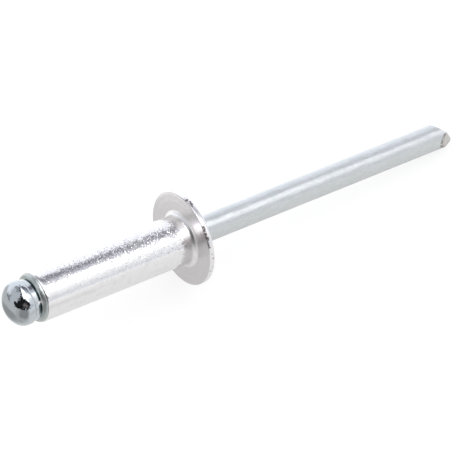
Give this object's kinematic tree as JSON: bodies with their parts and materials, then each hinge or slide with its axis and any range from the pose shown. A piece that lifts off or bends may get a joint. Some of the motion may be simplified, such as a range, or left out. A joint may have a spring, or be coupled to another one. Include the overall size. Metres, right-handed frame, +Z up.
{
  "type": "blind rivet",
  "caption": "Open-end domed blind rivet, not yet set: an aluminium sleeve with a flange, threaded on a zinc-plated steel mandrel that is pulled from one side to close it.",
  "frame": {"origin": "on the ground under the middle of the rivet's bounding box, as it lies", "axes": "+X along the rivet towards the end of the mandrel's tail, +Z up, +Y to the left when looking along +X; the rivet's own axis dips towards +X because it rests on the rim of its flange and the end of its tail"},
  "size_m": [0.0536, 0.0096, 0.0096],
  "materials": {
    "sleeve": "bright drawn aluminium with fine speckles and tool marks",
    "mandrel": "blue-white zinc plating over drawn steel wire"
  },
  "bodies": {
    "root": {"rivet_body": "sleeve", "mandrel": "mandrel"}
  },
  "joints": []
}
